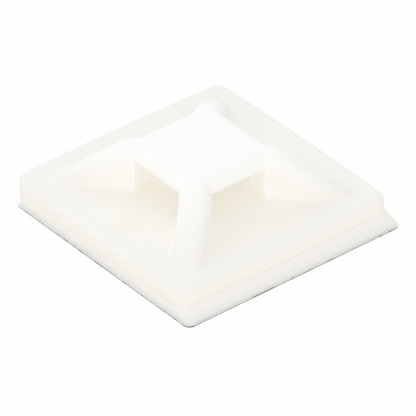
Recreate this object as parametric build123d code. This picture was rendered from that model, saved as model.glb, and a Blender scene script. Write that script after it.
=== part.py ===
from build123d import *
import math
import os

# Self-adhesive four-way cable tie mount, in millimetres, +Z up.
# The release liner lies on z = 0, and the Z axis runs through the middle of the table.

# base plate of the moulding, its sides bowed out a little
plate_side = 19.5
plate_bow = 0.16
plate_corner = 1.1
plate_height = 1.2
plate_draft = 3.0
plate_round = 0.4

# foam tape: its top is the plate's underside, and its foot, upright for the height of a lip,
# has crept out past the plate and towards -Y
tape_overhang = 0.17
tape_thickness = 1.0
tape_lip = 0.2
tape_corner = 0.45
tape_shift = 0.75

# release liner under the tape, cut a little larger again
liner_overhang = 0.08
liner_thickness = 0.1

# tie slots: the widest tie that passes, and the room left beside it
tie_width = 4.8
tie_clearance = 0.2
slot_height = 2.35

# square table that bridges the two crossing slots
table_side = 8.3
table_thickness = 1.15
lintel_round = 0.25

# rounding that runs round the table's rim and down both sides of each rib's crest
brim_round = 0.85

# four diagonal ribs that carry the table and fall away to the corners of the plate
rib_width = 2.2
rib_setback = 0.3
rib_margin = 1.95
rib_throat = 0.8
rib_shoulder_round = 2.0
rib_foot_round = 0.5

# sizes and levels that follow from those above
slot_width = tie_width + tie_clearance
tape_side = plate_side + 2 * tape_overhang
liner_side = tape_side + 2 * liner_overhang
plate_floor = liner_thickness + tape_thickness
plate_top = plate_floor + plate_height
plate_flat_half = plate_side / 2 - plate_height * math.tan(math.radians(plate_draft)) - plate_round
slot_ceiling = plate_top + slot_height
table_rise = slot_height + table_thickness
crest_start = (table_side / 2 - rib_setback) * math.sqrt(2)
crest_end = (plate_side / 2 - rib_margin) * math.sqrt(2)

# how closely an edge has to lie on a level or a line to be picked there
pick_tolerance = 1e-3


def at_level(edge, level):
    box = edge.bounding_box()
    return max(abs(box.min.Z - level), abs(box.max.Z - level)) < pick_tolerance


def is_upright(edge):
    box = edge.bounding_box()
    return max(box.size.X, box.size.Y) < pick_tolerance


def on_diagonal(edge):
    middle = edge.center()
    return abs(abs(middle.X) - abs(middle.Y)) < pick_tolerance


def side_distance(edge):
    middle = edge.center()
    return max(abs(middle.X), abs(middle.Y))


def plate_outline():
    half = plate_side / 2
    middle = half + plate_bow
    corners = [(half, -half), (half, half), (-half, half), (-half, -half), (half, -half)]
    middles = [(middle, 0), (0, middle), (-middle, 0), (0, -middle)]
    sides = [ThreePointArc(corners[k], middles[k], corners[k + 1]) for k in range(len(middles))]
    outline = make_face(sides)
    return fillet(outline.vertices(), plate_corner)


def make_liner():
    outline = RectangleRounded(liner_side, liner_side, tape_corner + liner_overhang)
    return Pos(0, -tape_shift, 0) * extrude(outline, liner_thickness)


def make_tape():
    foot = Pos(0, -tape_shift, liner_thickness) * RectangleRounded(tape_side, tape_side, tape_corner)
    lip = extrude(foot, tape_lip)
    lean = loft([Pos(0, 0, tape_lip) * foot, Pos(0, 0, plate_floor) * plate_outline()], ruled=True)
    return lip + lean


def make_plate():
    plate = extrude(plate_outline(), plate_height, taper=plate_draft)
    rim = plate.edges().filter_by(lambda edge: at_level(edge, plate_height))
    return Pos(0, 0, plate_floor) * fillet(rim, plate_round)


def make_hub():
    # seen from above: the table with an arm along each diagonal, eased where they meet
    arm = Rectangle(2 * crest_end + rib_width, rib_width)
    outline = Rectangle(table_side, table_side) + Rot(0, 0, 45) * arm + Rot(0, 0, -45) * arm
    throats = outline.vertices().filter_by(lambda point: Vector(point).length < crest_end)
    outline = fillet(throats, rib_throat)
    # the crests of the four arms lie on a pyramid that is turned by 45 degrees
    lean = math.degrees(math.atan2(crest_end - crest_start, table_rise))
    pyramid = extrude(Rot(0, 0, 45) * Rectangle(2 * crest_end, 2 * crest_end), table_rise, taper=lean)
    hub = extrude(outline, table_rise) & pyramid
    shoulders = hub.edges().filter_by(lambda edge: at_level(edge, table_rise) and on_diagonal(edge))
    hub = fillet(shoulders, rib_shoulder_round)
    brim = hub.edges().filter_by(
        lambda edge: not (at_level(edge, 0) or is_upright(edge) or on_diagonal(edge))
    )
    return Pos(0, 0, plate_top) * fillet(brim, brim_round)


def make_slots():
    slot = Pos(0, 0, plate_top + slot_height / 2) * Box(2 * table_side, slot_width, slot_height)
    return slot + Rot(0, 0, 90) * slot


def make_body():
    body = make_plate() + make_hub()
    feet = body.edges().filter_by(
        lambda edge: at_level(edge, plate_top) and side_distance(edge) < plate_flat_half - pick_tolerance
    )
    body = fillet(feet, rib_foot_round) - make_slots()
    lintels = body.edges().filter_by(
        lambda edge: at_level(edge, slot_ceiling)
        and abs(side_distance(edge) - table_side / 2) < pick_tolerance
    )
    return fillet(lintels, lintel_round)


os.makedirs("parts", exist_ok=True)
export_step(make_body(), "parts/mount_body.step")
export_step(make_tape(), "parts/foam_tape.step")
export_step(make_liner(), "parts/release_liner.step")
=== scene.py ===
import math

import bmesh
import bpy
from mathutils import Matrix, Vector, noise


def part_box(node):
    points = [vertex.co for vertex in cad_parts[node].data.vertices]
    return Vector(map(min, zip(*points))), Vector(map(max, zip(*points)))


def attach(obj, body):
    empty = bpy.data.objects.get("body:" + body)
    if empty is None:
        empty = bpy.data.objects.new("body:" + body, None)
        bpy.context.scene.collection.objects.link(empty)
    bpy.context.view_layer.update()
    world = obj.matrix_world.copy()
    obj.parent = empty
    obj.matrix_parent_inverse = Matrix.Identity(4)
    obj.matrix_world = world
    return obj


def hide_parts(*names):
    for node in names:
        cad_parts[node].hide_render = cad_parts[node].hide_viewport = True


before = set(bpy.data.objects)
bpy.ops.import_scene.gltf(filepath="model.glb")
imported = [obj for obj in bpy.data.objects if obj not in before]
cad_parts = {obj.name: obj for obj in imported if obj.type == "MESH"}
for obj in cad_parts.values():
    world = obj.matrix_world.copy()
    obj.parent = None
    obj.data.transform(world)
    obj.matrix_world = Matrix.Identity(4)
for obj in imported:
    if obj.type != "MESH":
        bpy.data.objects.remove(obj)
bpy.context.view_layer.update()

MM = 0.001
WHITE = (1, 1, 1, 1)

# viewing angle of the photograph in degrees, and the point that its middle shows
VIEW_AZIMUTH = -39.4
VIEW_ELEVATION = 35.05
VIEW_DISTANCE = 458 * MM
VIEW_LENS = 544
VIEW_CLIP_START = 10 * MM
VIEW_CLIP_END = 10000 * MM
AIM_POINT = Vector((-0.29, -1.12, 1.01)) * MM

# studio: a white floor, an even room and soft lamps, whose angles are in degrees
FLOOR_HALF = 400 * MM
FLOOR_DROP = 0.005 * MM
FLOOR_COLOUR = (0.95, 0.935, 0.89, 1)
FLOOR_WHITENESS = 0.9
ROOM_LIGHT = 0.868
ROOM_SHOWN = 1.0
LIGHT_BOUNCES = 24
LAMP_SIDE = 450 * MM
LAMP_DISTANCE = 500 * MM
LAMPS = {
    "front_lamp": {"azimuth": -42, "elevation": 25, "power": 0.35, "colour": (1, 0.96, 0.88)},
    "back_lamp": {"azimuth": 175, "elevation": 36, "power": 0.4, "colour": (0.8, 0.91, 1)},
}

# patterns that the finishes share
MOTTLE_NOISE = {"Detail": 3.0, "Roughness": 0.55}
MOTTLE_REACH = (0.3, 0.7)
GRAIN_NOISE = {"Detail": 4.0, "Roughness": 0.6}

# natural nylon: painted light whitens the raised table and ribs, painted shade warms the low plate and
# greys it towards its thin rim, and the plate's sides are greyer
NYLON_LIT_HIGH = (0.98, 0.975, 0.96, 1)
NYLON_SHADED_LOW = (0.97, 0.945, 0.89, 1)
NYLON_LIT_LEVELS = (2.2 * MM, 3.2 * MM)
NYLON_PATCH = (-0.12, 0.12)
# painted shade, greyer towards the plate's rim
NYLON_RIM_SHADE = (0.925, 0.907, 0.864, 1)
NYLON_RIM_SHADE_REACH = (5 * MM, 11 * MM)
NYLON_FLANK = (0.94, 0.925, 0.888, 1)
NYLON_FLANK_LEVELS = (2.3 * MM, 1.9 * MM)
NYLON_MOTTLE = 260
NYLON_GRAIN = 5000
NYLON_GRAIN_DEPTH = 0.003 * MM
NYLON_ROUGHNESS = (0.52, 0.64)
NYLON_IOR = 1.53
NYLON_HAZE = {
    "Subsurface Weight": 0.05,
    "Subsurface Radius": (1.0, 0.97, 0.92),
    "Subsurface Scale": 0.8 * MM,
}

# two faint tan spots on the plate, in front of the slots
SPOT_COLOUR = (0.945, 0.918, 0.85, 1)
SPOT_PLACES = (Vector((-7.6, -0.6, 2.3)) * MM, Vector((1.7, -7.4, 2.3)) * MM)
SPOT_FADE = (1.9 * MM, 0)

# closed-cell foam, with painted shade darkening it towards its foot
FOAM_WHITE = (0.925, 0.912, 0.876, 1)
FOAM_SHADED = (0.915, 0.902, 0.866, 1)
FOAM_FOOT_SHADE = (0.84, 0.83, 0.795, 1)
FOAM_FOOT_SHADE_LEVELS = (0.75 * MM, 0.1 * MM)
FOAM_MOTTLE = 500
FOAM_CELLS = 7000
FOAM_GRAIN = 9000
FOAM_HOLLOW_DEPTH = 0.008 * MM
FOAM_ROUGHNESS = (0.8, 0.9)

# coated film of the liner, pale on its faces; its cut edge carries a painted contact shadow, speckled from
# grey to near black
LINER_FACE = {
    "clean": (0.93, 0.95, 0.96, 1),
    "dull": (0.86, 0.89, 0.91, 1),
    "mottle": 400,
    "reach": (0, 1),
}
LINER_EDGE_SHADOW = {
    "clean": (0.38, 0.39, 0.4, 1),
    "dull": (0.02, 0.022, 0.025, 1),
    "mottle": 800,
    "reach": (0.25, 0.6),
}
LINER_GRAIN = 6000
LINER_GRAIN_DEPTH = 0.002 * MM
LINER_ROUGHNESS = (0.35, 0.5)

# foam tape: upright for the lowest share of its height, then coving up to the bowed sides of the plate
TAPE_LIP = 0.2
TAPE_FOOT_CORNER = 0.45 * MM
TAPE_FOOT_TUCK = 0.04 * MM
TAPE_TOP_CORNER = 1.1 * MM
TAPE_TOP_BOW = 0.16 * MM
TAPE_CUT_DEPTH = 0.03 * MM
TAPE_CUT_WAVE = 0.8 * MM
TAPE_STEPS = 12

# release liner
LINER_CORNER = 0.53 * MM

# how finely the tape and the liner are drawn, and how upright the normal of a level face is
SIDE_STEPS = 60
CORNER_STEPS = 8
LEVEL_NORMAL = 0.9


def add(tree, kind, inputs=None, **settings):
    """Adds a shader node; an input takes a value or the socket that feeds it."""
    node = tree.nodes.new(kind)
    for name, value in settings.items():
        setattr(node, name, value)
    for name, value in (inputs or {}).items():
        if isinstance(value, bpy.types.NodeSocket):
            tree.links.new(value, node.inputs[name])
        else:
            node.inputs[name].default_value = value
    return node


def calculate(tree, operation, first, second):
    return add(tree, "ShaderNodeMath", {0: first, 1: second}, operation=operation).outputs[0]


def ranged(tree, value, ends):
    """Value brought from 0..1 to lie between the two ends."""
    limits = {"To Min": ends[0], "To Max": ends[1]}
    return add(tree, "ShaderNodeMapRange", {"Value": value, **limits}).outputs[0]


def smooth_step(tree, value, reach):
    """0 at the start of reach and 1 at its end."""
    limits = {"From Min": reach[0], "From Max": reach[1]}
    step = add(
        tree,
        "ShaderNodeMapRange",
        {"Value": value, **limits},
        interpolation_type="SMOOTHSTEP",
    )
    return step.outputs[0]


def blend_colours(tree, share, low, high):
    """Colour that goes from low to high as share goes from 0 to 1."""
    return add(tree, "ShaderNodeMix", {0: share, 6: low, 7: high}, data_type="RGBA").outputs[2]


def bumped(tree, height, depth):
    return add(tree, "ShaderNodeBump", {"Height": height, "Strength": 1.0, "Distance": depth}).outputs[0]


def object_place(tree):
    return add(tree, "ShaderNodeTexCoord").outputs["Object"]


def level_of(tree, place):
    return add(tree, "ShaderNodeSeparateXYZ", {"Vector": place}).outputs["Z"]


def new_pattern(name, output):
    """Starts a node group that puts out one varying value, at a scale that each finish sets."""
    group = bpy.data.node_groups.new(name, "ShaderNodeTree")
    group.interface.new_socket("Place", in_out="INPUT", socket_type="NodeSocketVector")
    group.interface.new_socket("Scale", in_out="INPUT", socket_type="NodeSocketFloat")
    group.interface.new_socket(output, in_out="OUTPUT", socket_type="NodeSocketFloat")
    given = add(group, "NodeGroupInput").outputs
    return group, {"Vector": given["Place"], "Scale": given["Scale"]}


def make_mottle_group():
    """Soft cloudy mask, for the uneven colour and gloss of milky plastics."""
    group, given = new_pattern("soft_mottle", "Mask")
    cloud = add(group, "ShaderNodeTexNoise", {**given, **MOTTLE_NOISE})
    add(group, "NodeGroupOutput", {"Mask": smooth_step(group, cloud.outputs[0], MOTTLE_REACH)})
    return group


def make_grain_group():
    """Fine grain as a height, for moulded, foamed and coated faces."""
    group, given = new_pattern("fine_grain", "Height")
    grain = add(group, "ShaderNodeTexNoise", {**given, **GRAIN_NOISE})
    add(group, "NodeGroupOutput", {"Height": grain.outputs[0]})
    return group


def use_pattern(tree, group, place, scale):
    return add(tree, "ShaderNodeGroup", {"Place": place, "Scale": scale}, node_tree=group).outputs[0]


def new_material(name):
    material = bpy.data.materials.new(name)
    material.use_nodes = True
    material.node_tree.nodes.clear()
    return material, material.node_tree


def set_surface(tree, shader):
    add(tree, "ShaderNodeOutputMaterial", {"Surface": shader.outputs[0]})


def rim_shade_share(tree, place):
    """0 over the thick middle of the moulding, 1 at its thin rim, where painted shade greys the nylon."""
    flat = add(tree, "ShaderNodeVectorMath", {0: place, 1: (1, 1, 0)}, operation="MULTIPLY")
    reach = add(tree, "ShaderNodeVectorMath", {0: flat.outputs[0]}, operation="LENGTH")
    return smooth_step(tree, reach.outputs["Value"], NYLON_RIM_SHADE_REACH)


def spot_share(tree, place, spot):
    """1 at the middle of a round spot, 0 away from it."""
    reach = add(tree, "ShaderNodeVectorMath", {0: place, 1: spot}, operation="DISTANCE")
    return smooth_step(tree, reach.outputs["Value"], SPOT_FADE)


def nylon_colour(tree, place, cloud):
    level = level_of(tree, place)
    # painted light makes it whiter up on the table and ribs, painted shade makes it warmer low on the
    # plate, and random patches are added on top
    raised_light = smooth_step(tree, level, NYLON_LIT_LEVELS)
    lit_and_patchy = calculate(tree, "ADD", raised_light, ranged(tree, cloud, NYLON_PATCH))
    colour = blend_colours(tree, lit_and_patchy, NYLON_SHADED_LOW, NYLON_LIT_HIGH)
    # painted shade, greyer towards the rim
    colour = blend_colours(tree, rim_shade_share(tree, place), colour, NYLON_RIM_SHADE)
    colour = blend_colours(tree, smooth_step(tree, level, NYLON_FLANK_LEVELS), colour, NYLON_FLANK)
    for spot in SPOT_PLACES:
        colour = blend_colours(tree, spot_share(tree, place, spot), colour, SPOT_COLOUR)
    return colour


def make_nylon(mottle, grain):
    """Natural nylon as moulded: milky and satin, a little translucent."""
    material, tree = new_material("natural_nylon")
    place = object_place(tree)
    cloud = use_pattern(tree, mottle, place, NYLON_MOTTLE)
    fine = use_pattern(tree, grain, place, NYLON_GRAIN)
    shader = add(
        tree,
        "ShaderNodeBsdfPrincipled",
        {
            "Base Color": nylon_colour(tree, place, cloud),
            "Roughness": ranged(tree, cloud, NYLON_ROUGHNESS),
            "IOR": NYLON_IOR,
            "Normal": bumped(tree, fine, NYLON_GRAIN_DEPTH),
            **NYLON_HAZE,
        },
    )
    set_surface(tree, shader)
    return material


def make_foam(mottle, grain):
    """White closed-cell foam, with the small hollows of its cut cells, and painted shade towards its foot.
    """
    material, tree = new_material("tape_foam")
    place = object_place(tree)
    cloud = use_pattern(tree, mottle, place, FOAM_MOTTLE)
    fine = use_pattern(tree, grain, place, FOAM_GRAIN)
    cells = add(tree, "ShaderNodeTexVoronoi", {"Vector": place, "Scale": FOAM_CELLS}, feature="SMOOTH_F1")
    hollow = calculate(tree, "ADD", cells.outputs["Distance"], fine)
    # painted shade, darker towards the foot
    foot_shade = smooth_step(tree, level_of(tree, place), FOAM_FOOT_SHADE_LEVELS)
    colour = blend_colours(tree, cloud, FOAM_SHADED, FOAM_WHITE)
    shader = add(
        tree,
        "ShaderNodeBsdfPrincipled",
        {
            "Base Color": blend_colours(tree, foot_shade, colour, FOAM_FOOT_SHADE),
            "Roughness": ranged(tree, cloud, FOAM_ROUGHNESS),
            "Normal": bumped(tree, hollow, FOAM_HOLLOW_DEPTH),
        },
    )
    set_surface(tree, shader)
    return material


def make_liner_film(name, film, mottle, grain):
    """Thin coated film, with clean and dull patches; also used for the painted shadow on the liner's edge.
    """
    material, tree = new_material(name)
    place = object_place(tree)
    cloud = use_pattern(tree, mottle, place, film["mottle"])
    fine = use_pattern(tree, grain, place, LINER_GRAIN)
    cleanness = smooth_step(tree, cloud, film["reach"])
    shader = add(
        tree,
        "ShaderNodeBsdfPrincipled",
        {
            "Base Color": blend_colours(tree, cleanness, film["dull"], film["clean"]),
            "Roughness": ranged(tree, cloud, LINER_ROUGHNESS),
            "Normal": bumped(tree, fine, LINER_GRAIN_DEPTH),
        },
    )
    set_surface(tree, shader)
    return material


def round_square(half, corner, bow):
    """Points round a square with bowed sides and round corners, anticlockwise."""
    straight = half - corner
    side = [Vector((half, straight * (2 * k / SIDE_STEPS - 1))) for k in range(1, SIDE_STEPS)]
    angles = [k * math.pi / 2 / CORNER_STEPS for k in range(CORNER_STEPS + 1)]
    middle = Vector((straight, straight))
    arc = [middle + corner * Vector((math.cos(angle), math.sin(angle))) for angle in angles]
    ring = []
    for quarter in range(4):
        turn = Matrix.Rotation(quarter * math.pi / 2, 2)
        ring += [turn @ point for point in side + arc]
    swell = bow / half
    return [
        Vector((x + x * swell * (1 - (y / half) ** 2), y + y * swell * (1 - (x / half) ** 2)))
        for x, y in ring
    ]


def skin_rings(shape, rings):
    """Joins rings of points, lowest first, into a closed skin with smooth sides."""
    loops = []
    for ring in rings:
        verts = [shape.verts.new(point) for point in ring]
        loops.append([shape.edges.new((a, b)) for a, b in zip(verts, verts[1:] + verts[:1])])
    for lower, upper in zip(loops, loops[1:]):
        bmesh.ops.bridge_loops(shape, edges=lower + upper)
    for loop in (loops[0], loops[-1]):
        bmesh.ops.contextual_create(shape, geom=loop)
    bmesh.ops.recalc_face_normals(shape, faces=shape.faces)
    for face in shape.faces:
        face.smooth = abs(face.normal.z) < LEVEL_NORMAL


def put_in_scene(name, shape, materials):
    mesh = bpy.data.meshes.new(name)
    shape.to_mesh(mesh)
    shape.free()
    piece = bpy.data.objects.new(name, mesh)
    for material in materials:
        mesh.materials.append(material)
    bpy.context.collection.objects.link(piece)
    return piece


def tape_ring(foot, top, lean, level):
    """One level of the tape's knife-cut edge, which wanders most at the foot."""
    ring = []
    for start, end in zip(foot, top):
        point = start.lerp(end, lean).to_3d()
        point.z = level
        wander = (1 + noise.noise(point / TAPE_CUT_WAVE)) / 2
        inward = Vector((point.x, point.y, 0)).normalized()
        ring.append(point - inward * (TAPE_CUT_DEPTH * (1 - lean) * wander))
    return ring


def make_tape(foam):
    """Foam tape; its foot is as wide as the tape and lies towards -Y, its top fits the plate."""
    low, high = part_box("foam_tape")
    foot_shift = Vector((0, low.y + high.x))
    foot_half = high.x - TAPE_FOOT_TUCK
    foot = [point + foot_shift for point in round_square(foot_half, TAPE_FOOT_CORNER, 0)]
    top = round_square(high.y - TAPE_TOP_BOW, TAPE_TOP_CORNER, TAPE_TOP_BOW)
    rings = []
    for step in range(TAPE_STEPS + 1):
        share = step / TAPE_STEPS
        rise = max(0, share - TAPE_LIP) / (1 - TAPE_LIP)
        lean = rise + rise**2 - rise**3
        rings.append(tape_ring(foot, top, lean, low.z + share * (high.z - low.z)))
    shape = bmesh.new()
    skin_rings(shape, rings)
    return put_in_scene("tape", shape, [foam])


def make_liner(film, cut):
    """Release liner; its cut edge carries the painted contact shadow, darker than its coated faces."""
    low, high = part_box("release_liner")
    middle = (low + high) / 2
    outline = [point + middle.xy for point in round_square(high.x, LINER_CORNER, 0)]
    shape = bmesh.new()
    skin_rings(shape, [[(*point, level) for point in outline] for level in (low.z, high.z)])
    materials = [film, cut]
    for face in shape.faces:
        # the side faces get the painted contact shadow
        face.material_index = materials.index(cut if face.smooth else film)
    return put_in_scene("liner", shape, materials)


def dress_node(node, material):
    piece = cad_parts[node]
    piece.data.materials.clear()
    piece.data.materials.append(material)


def dress_mount():
    mottle = make_mottle_group()
    grain = make_grain_group()
    dress_node("mount_body", make_nylon(mottle, grain))
    tape = make_tape(make_foam(mottle, grain))
    film = make_liner_film("liner_film", LINER_FACE, mottle, grain)
    # painted contact shadow for the liner's cut edge
    cut = make_liner_film("liner_edge_shadow", LINER_EDGE_SHADOW, mottle, grain)
    liner = make_liner(film, cut)
    stand_ins = ((tape, "foam_tape", "tape_foam"), (liner, "release_liner", "liner_film"))
    for piece, node, slot in stand_ins:
        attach(piece, "root")
        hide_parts(node)


def shown_share(tree):
    """1 for the rays that show the background, 0 for those that light the object."""
    path = add(tree, "ShaderNodeLightPath").outputs
    seen = calculate(tree, "MAXIMUM", path["Is Camera Ray"], path["Is Glossy Ray"])
    return calculate(tree, "MAXIMUM", seen, path["Is Transmission Ray"])


def make_floor():
    """Floor that looks almost white, and keeps a faint shadow of the object."""
    material, tree = new_material("floor_white")
    matt = add(tree, "ShaderNodeBsdfDiffuse", {"Color": FLOOR_COLOUR})
    white = add(tree, "ShaderNodeEmission", {"Color": WHITE})
    share = calculate(tree, "MULTIPLY", shown_share(tree), FLOOR_WHITENESS)
    shown = add(tree, "ShaderNodeMixShader", {0: share, 1: matt.outputs[0], 2: white.outputs[0]})
    set_surface(tree, shown)
    shape = bmesh.new()
    bmesh.ops.create_grid(shape, x_segments=1, y_segments=1, size=FLOOR_HALF)
    bmesh.ops.translate(shape, vec=(0, 0, -FLOOR_DROP), verts=shape.verts)
    put_in_scene("floor", shape, [material])


def make_room():
    """Even white all round, that lights the object a little less than it shows."""
    world = bpy.data.worlds.new("white_room")
    world.use_nodes = True
    tree = world.node_tree
    tree.nodes.clear()
    strength = ranged(tree, shown_share(tree), (ROOM_LIGHT, ROOM_SHOWN))
    sky = add(tree, "ShaderNodeBackground", {"Color": WHITE, "Strength": strength})
    add(tree, "ShaderNodeOutputWorld", {"Surface": sky.outputs[0]})
    bpy.context.scene.world = world


def direction(azimuth, elevation):
    """Unit vector from the object towards a camera or lamp; azimuth 0 is in front, along -Y."""
    turn = math.radians(azimuth)
    rise = math.radians(elevation)
    return Vector(
        (
            math.sin(turn) * math.cos(rise),
            -math.cos(turn) * math.cos(rise),
            math.sin(rise),
        )
    )


def make_lamps():
    for name, lamp in LAMPS.items():
        data = bpy.data.lights.new(name, "AREA")
        data.size = LAMP_SIDE
        data.energy = lamp["power"]
        data.color = lamp["colour"]
        light = bpy.data.objects.new(name, data)
        towards = direction(lamp["azimuth"], lamp["elevation"])
        light.location = towards * LAMP_DISTANCE
        light.rotation_euler = towards.to_track_quat("Z", "Y").to_euler()
        bpy.context.collection.objects.link(light)


def make_camera():
    data = bpy.data.cameras.new("photo_camera")
    data.lens = VIEW_LENS
    data.clip_start = VIEW_CLIP_START
    data.clip_end = VIEW_CLIP_END
    camera = bpy.data.objects.new("photo_camera", data)
    back = direction(VIEW_AZIMUTH, VIEW_ELEVATION)
    camera.location = AIM_POINT + back * VIEW_DISTANCE
    camera.rotation_euler = back.to_track_quat("Z", "Y").to_euler()
    bpy.context.collection.objects.link(camera)
    bpy.context.scene.camera = camera


bpy.context.scene.view_settings.view_transform = "Standard"
bpy.context.scene.cycles.diffuse_bounces = LIGHT_BOUNCES
bpy.context.scene.cycles.max_bounces = LIGHT_BOUNCES
make_room()
make_floor()
make_lamps()
make_camera()
dress_mount()
